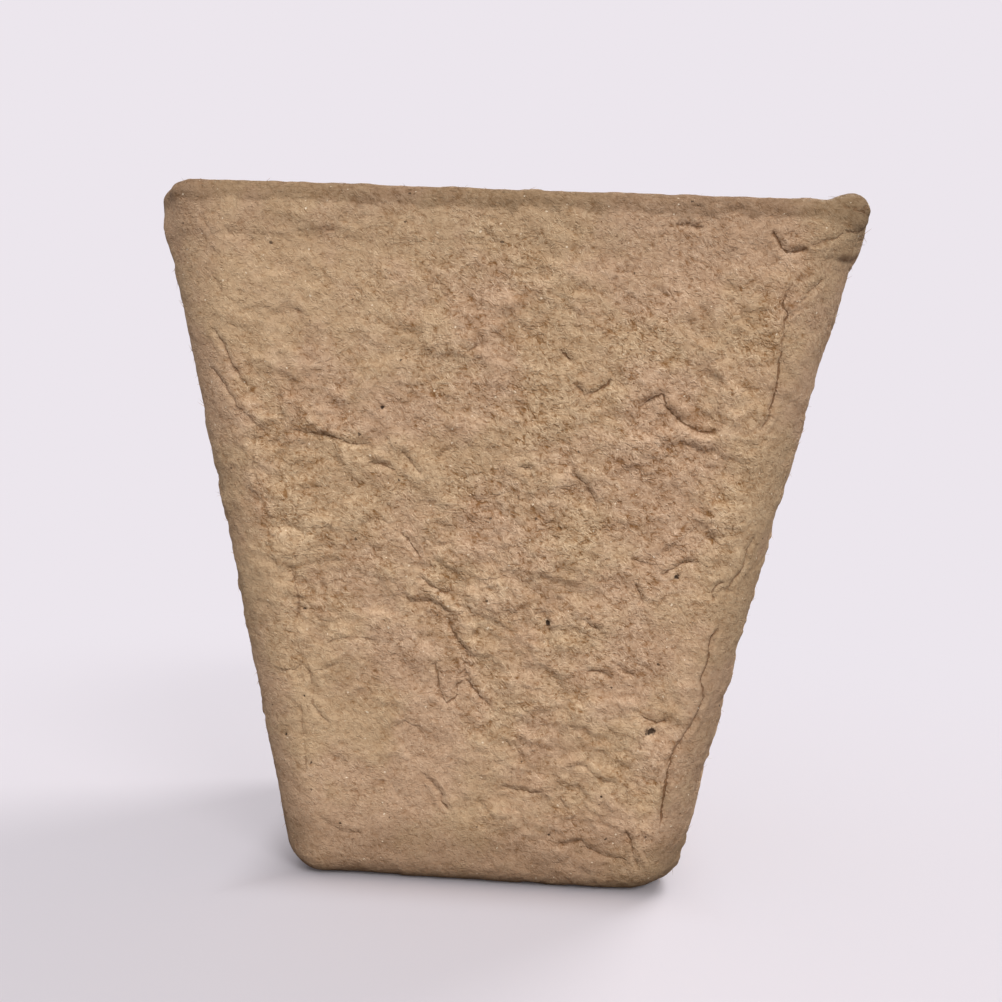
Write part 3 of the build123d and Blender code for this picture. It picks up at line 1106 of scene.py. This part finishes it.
def speckle(tree, felt, size, largest, power):
    """Small specks, one to a cell of this size: the radius falls off steeply, so most are tiny."""
    swing = drift(tree, felt, speck_bend, detail=1.0)
    felt = vector_calc(tree, "ADD", felt, scaled(tree, swing, speck_bend))
    inputs = {"Vector": felt, "Scale": 1 / size}
    cells = add_node(tree, "ShaderNodeTexVoronoi", inputs, voronoi_dimensions="2D").outputs
    luck = add_node(tree, "ShaderNodeSeparateColor", {0: cells["Color"]}).outputs[0]
    edge = product(tree, calc(tree, "POWER", luck, power), largest / size)
    return calc(tree, "LESS_THAN", cells["Distance"], edge)


def specked(tree, colour, felt, grain):
    """Dark pits, and specks both dark and pale."""
    gap = vector_calc(tree, "LENGTH", attribute(tree, "pit", "Vector"), output="Value")
    gap = calc(tree, "MULTIPLY_ADD", centred(tree, grain), pit_ragged, gap)
    colour = blend(tree, remap(tree, gap, *pit_edge, 1.0, 0.0), colour, fleck_dark)
    for size, largest, power, strength, tint in speck_layers:
        share = product(tree, speckle(tree, felt, size, largest, power), strength)
        colour = blend(tree, share, colour, tint)
    return colour


print(len(speck_layers), "layers of specks")

# %% Mix the pulp finish
grit_size, grain_size, cloud_size = 0.24, 0.7, 2.4
grit_bump, fluff_bump, nick_bump = 0.5, 0.4, 0.5
bump_height = 0.09 * millimetre
grain_found, pulp_roughness, pulp_specular = (0.2, 0.8), (0.98, 0.86), 0.2


def pulp_finish():
    """The finish of the whole pot."""
    finish = bpy.data.materials.new("pulp")
    finish.use_nodes = True
    tree = finish.node_tree
    shader = tree.nodes["Principled BSDF"]
    felt = add_node(tree, "ShaderNodeUVMap", uv_map="Felt").outputs[0]
    place = scaled(tree, tree.nodes.new("ShaderNodeTexCoord").outputs["Object"], 1 / millimetre)
    grit, grain = (noise(tree, place, size, roughness=0.6) for size in (grit_size, grain_size))
    cloud = noise(tree, place, cloud_size)
    tone, nicked, fluff, contrast = felt_tone(tree, felt, place, (grit, grain, cloud))
    colour = tinted_and_shaded(tree, blend(tree, tone, pulp_dark, pulp_pale), place, cloud)
    crack_line = crack_mask(tree, grain, cloud)
    # Painted shade along the cracks
    colour = blend(tree, product(tree, crack_line, crack_shade_strength), colour, painted_shade_in_cracks)
    colour = specked(tree, colour, felt, grain)

    bumps = calc(tree, "MULTIPLY_ADD", grit, grit_bump, grain)
    bumps = calc(tree, "MULTIPLY_ADD", fluff, fluff_bump, bumps)
    bumps = calc(tree, "MULTIPLY_ADD", product(tree, nicked, contrast), -nick_bump, bumps)
    bumps = calc(tree, "SUBTRACT", bumps, crack_line)
    normal = add_node(tree, "ShaderNodeBump", {"Height": bumps, "Strength": 1.0, "Distance": bump_height})
    tree.links.new(colour, shader.inputs["Base Color"])
    tree.links.new(normal.outputs[0], shader.inputs["Normal"])
    tree.links.new(remap(tree, grain, *grain_found, *pulp_roughness), shader.inputs["Roughness"])
    shader.inputs["Specular IOR Level"].default_value = pulp_specular
    return finish


pulp = pulp_finish()
print("pulp finish:", len(pulp.node_tree.nodes), "nodes")

# %% [markdown]
# ## Pressing the blank
# The tree now presses the blank through a modifier. Its result is taken as a plain mesh at once, because the
# cutting needs final points: a modifier left on each piece would press every piece on its own, and the lumps
# at the joints would no longer match.


# %% Press the blank
def socket_id(tree, label):
    """A modifier's inputs are set by identifier, which the tree's interface gives for a label."""
    return next(item.identifier for item in tree.interface.items_tree
                if item.name == label and item.in_out == "INPUT")


def baked_mesh(thing, name):
    """The evaluated result of an object's modifiers, as a plain mesh."""
    ready = thing.evaluated_get(bpy.context.evaluated_depsgraph_get())
    made = bpy.data.meshes.new_from_object(ready)
    made.name = name
    return made


def vectors_of(items, key):
    """One vector for each item of a mesh, as an array."""
    values = np.empty(len(items) * 3, np.float32)
    items.foreach_get(key, values)
    return values.reshape(-1, 3)


press = blank.modifiers.new("Pulp relief", "NODES")
press.node_group = relief
press[socket_id(relief, "Cracks")] = cracks
press[socket_id(relief, "Finish")] = pulp
pressed = baked_mesh(blank, "pressed")

pressed_points = vectors_of(pressed.vertices, "co")
pressed_normals = vectors_of(pressed.vertex_normals, "vector")
kept_values = {
    label: stored(pressed, label, width)
    for label, width in (
        ("height_mm", 1), ("valley", 1), ("crack_side_mm", 1), ("crack_bite", 1), ("inside", 1), ("live", 1),
        ("corner", 1), ("pit", 3),
    )
}
print("pressed relief from", kept_values["height_mm"].min(), "to", kept_values["height_mm"].max(), "mm")

# %% [markdown]
# ## Cutting the skin into pieces
# Each CAD node takes the cells of the grid that lie over it, outside and inside, and the two are closed with
# strips through the thickness of the wall, so that every piece is a closed solid. The skin keeps the normals
# of the whole pot, so the cut lines don't show. Two UV maps go with it: Felt, in millimetres along the
# surface, and OFBake, a neat layout of the same cells for textures.

# %% Map a block of cells
felt_side_gap = 500.0
station_runs = np.linalg.norm(np.roll(points, -1, 0) - points, axis=2).max(1)
felt_run = np.concatenate([[0], np.cumsum(station_runs)])
corner_half = flat_cells + corner_cells // 2
cell_edges = np.arange(side_cells + 1)
cell_along = np.clip(cell_edges / flat_cells * 2 - 1, -1, 1)
cell_turn = np.clip((cell_edges - flat_cells) / corner_cells, 0, 1) * math.pi / 2
wrapped_flat, wrapped_half = (np.append(column[:, 0], column[0, 0]) for column in (flat, half))
bake_gap, bake_top = 0.006, 0.97


def felt_across(station, cell, edge):
    """Distance along a ring from the middle of the side that a cell belongs to, at its left or right edge."""
    at = cell + edge
    run, radius = wrapped_flat[station], (wrapped_half - wrapped_flat)[station]
    before = cell_along[at] * run + cell_turn[at] * radius
    after = -run - (math.pi / 2 - cell_turn[at]) * radius
    return np.where(cell < corner_half, before, after)


def block(span_names, first_step, step_count, where):
    """The cells of some stretches over part of the ring: faces, felt map and bake map."""
    start, stop = spans[span_names[0]][0], spans[span_names[-1]][1]
    station, step = (v.ravel() for v in np.mgrid[start:stop, first_step:first_step + step_count])
    cell, side = step % side_cells, step // side_cells
    faces = quads(station[:, None], step[:, None])
    felt, bake = np.empty((len(step), 4, 2)), np.empty((len(step), 4, 2))
    flat_lying = station >= spans["floor_in"][0]
    rows, sides = stop - start, max(1, step_count // side_cells)
    row_cells = min(step_count, side_cells)
    for corner, (down, right) in enumerate([(0, 0), (0, 1), (1, 1), (1, 0)]):
        spot = points.reshape(-1, 3)[faces[:, corner]] / millimetre
        across = felt_across(station + down, cell, right) / millimetre + felt_side_gap * side
        felt[:, corner, 0] = np.where(flat_lying, spot[:, 0], across)
        felt[:, corner, 1] = np.where(flat_lying, spot[:, 1], felt_run[station + down] / millimetre)
        share_x = ((step - first_step) % row_cells + right) / row_cells
        share_y = (station - start + down) / rows
        row = (step - first_step) // row_cells
        low_x, low_y, high_x, high_y = where
        row_height = (high_y - low_y) / sides
        bake[:, corner, 0] = mix(low_x + bake_gap, high_x - bake_gap, share_x)
        bake[:, corner, 1] = low_y + row * row_height + mix(bake_gap, row_height - bake_gap, share_y)
    return faces, felt, bake


print("felt map", round(felt_run[-1] / millimetre), "mm round the section")

# %% Cut one piece
strip_inset, strip_share = 0.2, 0.6
least_area = 1e-12


def edge_line(station, steps):
    """The points of one station along some steps of the ring."""
    return point_ids(np.full(len(steps), station), steps)


def bridge(first, second):
    """A strip of faces through the wall, between two lines of points on the skin."""
    return np.stack([first[1:], first[:-1], second[:-1], second[1:]], -1)


def cut_piece(name, blocks, bridges):
    """Joins blocks and bridges into one closed piece that stands for a CAD node."""
    skin = np.concatenate([faces for faces, _, _ in blocks])
    strips = [bridge(*lines) for lines in bridges]
    faces = np.concatenate([skin, *strips])
    used, numbered = np.unique(faces, return_inverse=True)
    mesh = mesh_of(name, pressed_points[used], numbered.reshape(-1, 4))

    strip_felt = [pressed_points[strip][..., :2] / millimetre for strip in strips]
    strip_bake = []
    strip_room = (1 - bake_top) / len(strips)
    for k, strip in enumerate(strips):
        low = bake_top + (k + strip_inset) * strip_room
        high = low + strip_share * strip_room
        left = np.arange(len(strip)) / len(strip)
        right = np.arange(1, len(strip) + 1) / len(strip)
        corners = [(right, low), (left, low), (left, high), (right, high)]
        strip_bake.append(np.stack([np.stack([x, np.full_like(x, y)], -1) for x, y in corners], 1))
    for label, parts in (
        ("Felt", [felt for _, felt, _ in blocks] + strip_felt),
        ("OFBake", [bake for _, _, bake in blocks] + strip_bake),
    ):
        uv = mesh.uv_layers.new(name=label)
        uv.uv.foreach_set("vector", np.concatenate(parts).astype(np.float32).ravel())

    for label, values in kept_values.items():
        store(mesh, label, "FLOAT_VECTOR" if values.ndim > 1 else "FLOAT", values[used])
    normals = pressed_normals[faces]
    corners = pressed_points[faces[len(skin):]]
    across_strip = np.cross(corners[:, 2] - corners[:, 0], corners[:, 3] - corners[:, 1])
    across_strip /= np.maximum(np.linalg.norm(across_strip, axis=1, keepdims=True), least_area)
    normals[len(skin):] = across_strip[:, None]
    mesh.normals_split_custom_set(normals.reshape(-1, 3))
    mesh.materials.append(pulp)

    piece = bpy.data.objects.new(f"pulp_{name}", mesh)
    bpy.context.scene.collection.objects.link(piece)
    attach(piece, "root")
    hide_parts(name)
    print(name, len(faces) * 2, "triangles")


# %% [markdown]
# The four walls and the four corners are cut alike, one pair for each side. The heel, the rim and the floor
# go all the way round, so their strips are closed rings.

# %% Cut the walls and corners
out_first, in_first = spans["wall_out"][0], spans["wall_in"][0]
out_last, in_last = spans["wall_out"][1], spans["wall_in"][1]


def upright_piece(name, first_step, step_count):
    """A wall or a corner: outside, inside, and strips along its four edges."""
    steps = np.arange(first_step, first_step + step_count + 1)
    rows = np.arange(wall_rows + 1)
    left_out, right_out = (point_ids(out_first + rows, steps[k]) for k in (0, -1))
    left_in, right_in = (point_ids(in_first + rows, steps[k]) for k in (0, -1))
    cut_piece(
        name,
        [
            block(["wall_out"], first_step, step_count, (0.0, 0.0, 0.5, bake_top)),
            block(["wall_in"], first_step, step_count, (0.5, 0.0, 1.0, bake_top)),
        ],
        [
            (edge_line(in_first, steps), edge_line(out_last, steps)),
            (edge_line(out_first, steps), edge_line(in_last, steps)),
            (left_out[::-1], left_in),
            (right_out, right_in[::-1]),
        ],
    )


for side, (wall_name, corner_name) in enumerate([
    ("wall_front", "corner_front_right"), ("wall_right", "corner_back_right"),
    ("wall_back", "corner_back_left"), ("wall_left", "corner_front_left"),
]):
    upright_piece(wall_name, side * side_cells, flat_cells)
    upright_piece(corner_name, side * side_cells + flat_cells, corner_cells)

# %% Cut the heel, the rim and the floor
whole_ring = np.arange(ring_cells + 1)
heel_rows_out = spans["heel_side"][1] - spans["heel_under"][0]
heel_rows_in = spans["heel_floor"][1] - spans["heel_in"][0]
heel_share = heel_rows_out / (heel_rows_out + heel_rows_in) * bake_top
cut_piece(
    "heel",
    [
        block(["heel_under", "heel_side"], 0, ring_cells, (0.0, 0.0, 1.0, heel_share)),
        block(["heel_in", "heel_floor"], 0, ring_cells, (0.0, heel_share, 1.0, bake_top)),
    ],
    [
        (edge_line(0, whole_ring), edge_line(spans["heel_floor"][1], whole_ring)),
        (edge_line(in_last, whole_ring), edge_line(out_first, whole_ring)),
    ],
)
cut_piece(
    "rim",
    [block(["bead", "rim_in"], 0, ring_cells, (0.0, 0.0, 1.0, bake_top))],
    [(edge_line(out_last, whole_ring), edge_line(in_first, whole_ring))],
)
cut_piece(
    "floor",
    [block(["floor_in", "floor_under"], 0, ring_cells, (0.0, 0.0, 1.0, bake_top))],
    [(edge_line(spans["floor_in"][0], whole_ring), edge_line(0, whole_ring))],
)
for helper in (blank, cracks):
    bpy.data.objects.remove(helper)

# %% [markdown]
# ## Loose fibres
# A few short fibres stand off the felt, and they make the outline of the rim slightly furry. They repeat, so
# another Geometry Nodes tree scatters them: points on the outside of the pot, each with one thin sliver of
# four faces that lies nearly flat in a random direction.

# %% Build the scatter tree
fuzz, given, result = new_group(
    "Loose fibres", "GeometryNodeTree",
    [
        ("Geometry", "NodeSocketGeometry", None),
        ("Finish", "NodeSocketMaterial", None),
        ("Fibres per square metre", "NodeSocketFloat", 130000.0),
        ("Length", "NodeSocketFloat", 0.8 * millimetre),
        ("Radius", "NodeSocketFloat", 0.03 * millimetre),
        ("Seed", "NodeSocketInt", 5),
    ],
    [("Geometry", "NodeSocketGeometry")],
)
clear_of_ground, most_inside, sliver_sides = 1.5 * millimetre, 0.9, 3
lean_least, lean_most = (math.radians(45), 0.0, 0.0), (math.radians(85), 0.0, 2 * math.pi)
size_least, size_most = (0.7, 0.7, 0.4), (1.2, 1.2, 1.5)
place = add_node(fuzz, "GeometryNodeInputPosition").outputs[0]
height_there = add_node(fuzz, "ShaderNodeSeparateXYZ", {0: place}).outputs[2]
is_outside = calc(fuzz, "LESS_THAN", named(fuzz, "inside"), most_inside)
on_show = product(fuzz, is_outside, calc(fuzz, "GREATER_THAN", height_there, clear_of_ground))
inputs = {
    "Mesh": given["Geometry"], "Selection": on_show, "Density": given["Fibres per square metre"],
    "Seed": given["Seed"],
}
spots = add_node(fuzz, "GeometryNodeDistributePointsOnFaces", inputs, distribute_method="RANDOM").outputs
inputs = {
    "Vertices": sliver_sides, "Radius Top": 0.0, "Radius Bottom": given["Radius"], "Depth": given["Length"],
}
sliver = add_node(fuzz, "GeometryNodeMeshCone", inputs, fill_type="NGON").outputs["Mesh"]
inputs = {0: lean_least, 1: lean_most, "Seed": given["Seed"]}
sway = add_node(fuzz, "FunctionNodeRandomValue", inputs, data_type="FLOAT_VECTOR").outputs[0]
sway = add_node(fuzz, "FunctionNodeEulerToRotation", {0: sway}).outputs[0]
inputs = {0: spots["Rotation"], 1: sway}
lying = add_node(fuzz, "FunctionNodeRotateRotation", inputs, rotation_space="LOCAL").outputs[0]
inputs = {0: size_least, 1: size_most}
fibre_size = add_node(fuzz, "FunctionNodeRandomValue", inputs, data_type="FLOAT_VECTOR").outputs[0]
inputs = {"Points": spots["Points"], "Instance": sliver, "Rotation": lying, "Scale": fibre_size}
fibres = add_node(fuzz, "GeometryNodeInstanceOnPoints", inputs).outputs[0]
fibres = add_node(fuzz, "GeometryNodeRealizeInstances", {"Geometry": fibres}).outputs[0]
inputs = {"Geometry": fibres, "Material": given["Finish"]}
fibres = add_node(fuzz, "GeometryNodeSetMaterial", inputs).outputs[0]
fuzz.links.new(fibres, result.inputs[0])
print("scatter tree:", len(fuzz.nodes), "nodes")


# %% Scatter the fibres
def matt(name, colour, roughness, specular):
    """A plain matt finish."""
    made = bpy.data.materials.new(name)
    made.use_nodes = True
    shader = made.node_tree.nodes["Principled BSDF"]
    shader.inputs["Base Color"].default_value = colour
    shader.inputs["Roughness"].default_value = roughness
    shader.inputs["Specular IOR Level"].default_value = specular
    return made


fibre_colour, fibre_roughness, faint_specular = (0.42, 0.275, 0.17, 1), 0.95, 0.1
fibre_finish = matt("fibre", fibre_colour, fibre_roughness, faint_specular)
fibre_bed = bpy.data.objects.new("fibre_bed", pressed)
bpy.context.scene.collection.objects.link(fibre_bed)
scatter = fibre_bed.modifiers.new("Loose fibres", "NODES")
scatter.node_group = fuzz
scatter[socket_id(fuzz, "Finish")] = fibre_finish
loose = bpy.data.objects.new("pulp_loose_fibres", baked_mesh(fibre_bed, "loose_fibres"))
bpy.context.scene.collection.objects.link(loose)
bpy.data.objects.remove(fibre_bed)
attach(loose, "root")
print("loose fibres:", len(loose.data.polygons), "faces")

# %% [markdown]
# ## Floor, light and surround
# The pot stands on pale paper that sweeps up into a round backdrop, so every view has the same quiet ground.
# The paper is only there to be looked at: it is hidden from light rays, so a lamp may stand behind it, and a
# board under it takes its part. Close to the pot the paper glows in part, all but at its foot, and far from
# the pot it fades into an even glow of its own colour.

# %% Set the stage
floor_radius, backdrop_curve, backdrop_rise = 0.20, 0.30, 0.60
board_radius, board_drop = 0.60, 0.3 * millimetre
paper_colour = (0.838, 0.791, 0.847, 1)
board_colour = (0.45, 0.42, 0.42, 1)
stage_roughness = 0.9
stage_sides, bend_steps = 96, 24
glow_start, glow_full, glow_least = 0.10, 0.24, 0.54
foot_edge, foot_fade = 20 * millimetre, 12 * millimetre


def turned_sheet(name, outline, finish):
    """A sheet turned about the pot's axis, from radius and level pairs that start at the axis."""
    turns = np.linspace(0, 2 * math.pi, stage_sides, endpoint=False)
    verts = [(0, 0, outline[0][1])]
    verts += [(r * math.cos(t), r * math.sin(t), z) for r, z in outline[1:] for t in turns]
    faces = [(0, 1 + j, 1 + (j + 1) % stage_sides) for j in range(stage_sides)]
    for k in range(len(outline) - 2):
        first, second = 1 + k * stage_sides, 1 + (k + 1) * stage_sides
        faces += [(first + j, second + j, second + (j + 1) % stage_sides, first + (j + 1) % stage_sides)
                  for j in range(stage_sides)]
    mesh = bpy.data.meshes.new(name)
    mesh.from_pydata(verts, [], faces)
    mesh.shade_smooth()
    mesh.materials.append(finish)
    sheet = bpy.data.objects.new(name, mesh)
    bpy.context.scene.collection.objects.link(sheet)
    return sheet


def fading_paper():
    """Matt paper at the pot's foot, glowing in part a little further out and fading into an even glow further
    still, so that no lamp marks the backdrop.
    """
    made = matt("paper", paper_colour, stage_roughness, faint_specular)
    tree = made.node_tree
    shader = tree.nodes["Principled BSDF"]
    place = tree.nodes.new("ShaderNodeTexCoord").outputs["Object"]
    away = vector_calc(tree, "LENGTH", place, output="Value")
    glow = add_node(tree, "ShaderNodeEmission", {"Color": paper_colour, "Strength": 1.0}).outputs[0]
    from_foot = vector_calc(tree, "ABSOLUTE", place)
    sides = add_node(tree, "ShaderNodeSeparateXYZ", {0: from_foot}).outputs
    from_foot = calc(tree, "MAXIMUM", sides[0], sides[1])
    lit = remap(tree, from_foot, foot_edge, foot_edge + foot_fade, 0.0, glow_least)
    share = remap(tree, away, glow_start, glow_full, lit, 1.0)
    faded = add_node(tree, "ShaderNodeMixShader", {0: share, 1: shader.outputs[0], 2: glow})
    tree.links.new(faded.outputs[0], tree.nodes["Material Output"].inputs["Surface"])
    return made


bend = np.linspace(0, math.pi / 2, bend_steps)
sweep = list(zip(floor_radius + backdrop_curve * np.sin(bend), backdrop_curve * (1 - np.cos(bend))))
paper_outline = [(0, 0), *sweep, (floor_radius + backdrop_curve, backdrop_rise)]
paper = turned_sheet("paper", paper_outline, fading_paper())
paper.visible_shadow = False
paper.visible_diffuse = False
paper.visible_glossy = False
board_outline = [(0, -board_drop), (board_radius, -board_drop)]
board = turned_sheet("board", board_outline, matt("board", board_colour, stage_roughness, faint_specular))
print("stage: paper and board")

# %% [markdown]
# Four soft suns light the scene. A key from the front and above draws the relief of the pot, and a weaker one
# from the front right lights the paper. One from behind and the right lights the edges of the pot and the
# board, and one from the same side lights the paper and throws the pot's shadow forward and to the left. Pot
# and paper have suns of their own through light linking, so that each can be set without the other.


# %% Light the scene
sun_colour = (1.0, 0.99, 0.98)


def soft_sun(name, towards, share, softness):
    """A sun in a direction. Its share is that of a full light, which shows a matt colour as it is."""
    lamp = bpy.data.lights.new(name, "SUN")
    lamp.energy = share * math.pi
    lamp.angle = math.radians(softness)
    lamp.color = sun_colour
    sun = bpy.data.objects.new(name, lamp)
    sun.rotation_euler = Vector(towards).to_track_quat("Z", "Y").to_euler()
    bpy.context.scene.collection.objects.link(sun)
    return sun


def lights_only(sun, name, things):
    """Limits a sun to some objects, while everything still throws its shadow."""
    group = bpy.data.collections.new(name)
    for thing in things:
        group.objects.link(thing)
    sun.light_linking.receiver_collection = group


pot_pieces = [thing for thing in bpy.context.scene.objects if thing.name.startswith("pulp_")]
# Direction to the sun, share of a full light, softness in degrees and what it lights
suns = {
    "key": ((0.13, -0.80, 0.58), 1.05, 18, pot_pieces),
    "key_on_paper": ((0.42, -0.74, 0.52), 0.29, 22, [paper]),
    "back": ((0.45, 0.60, 0.66), 0.60, 24, [*pot_pieces, board]),
    "side_on_paper": ((0.52, 0.55, 0.66), 0.60, 24, [paper]),
}
for name, (towards, share, softness, things) in suns.items():
    lights_only(soft_sun(name, towards, share, softness), f"lit_by_{name}", things)

room_colour, room_light = (1.0, 0.99, 1.0, 1), 0.45
world = bpy.data.worlds.new("room")
world.use_nodes = True
room = world.node_tree.nodes["Background"].inputs
room["Color"].default_value = room_colour
room["Strength"].default_value = room_light
bpy.context.scene.world = world
bpy.context.scene.view_settings.view_transform = "Standard"
print("lit by", len(suns), "suns and the room")
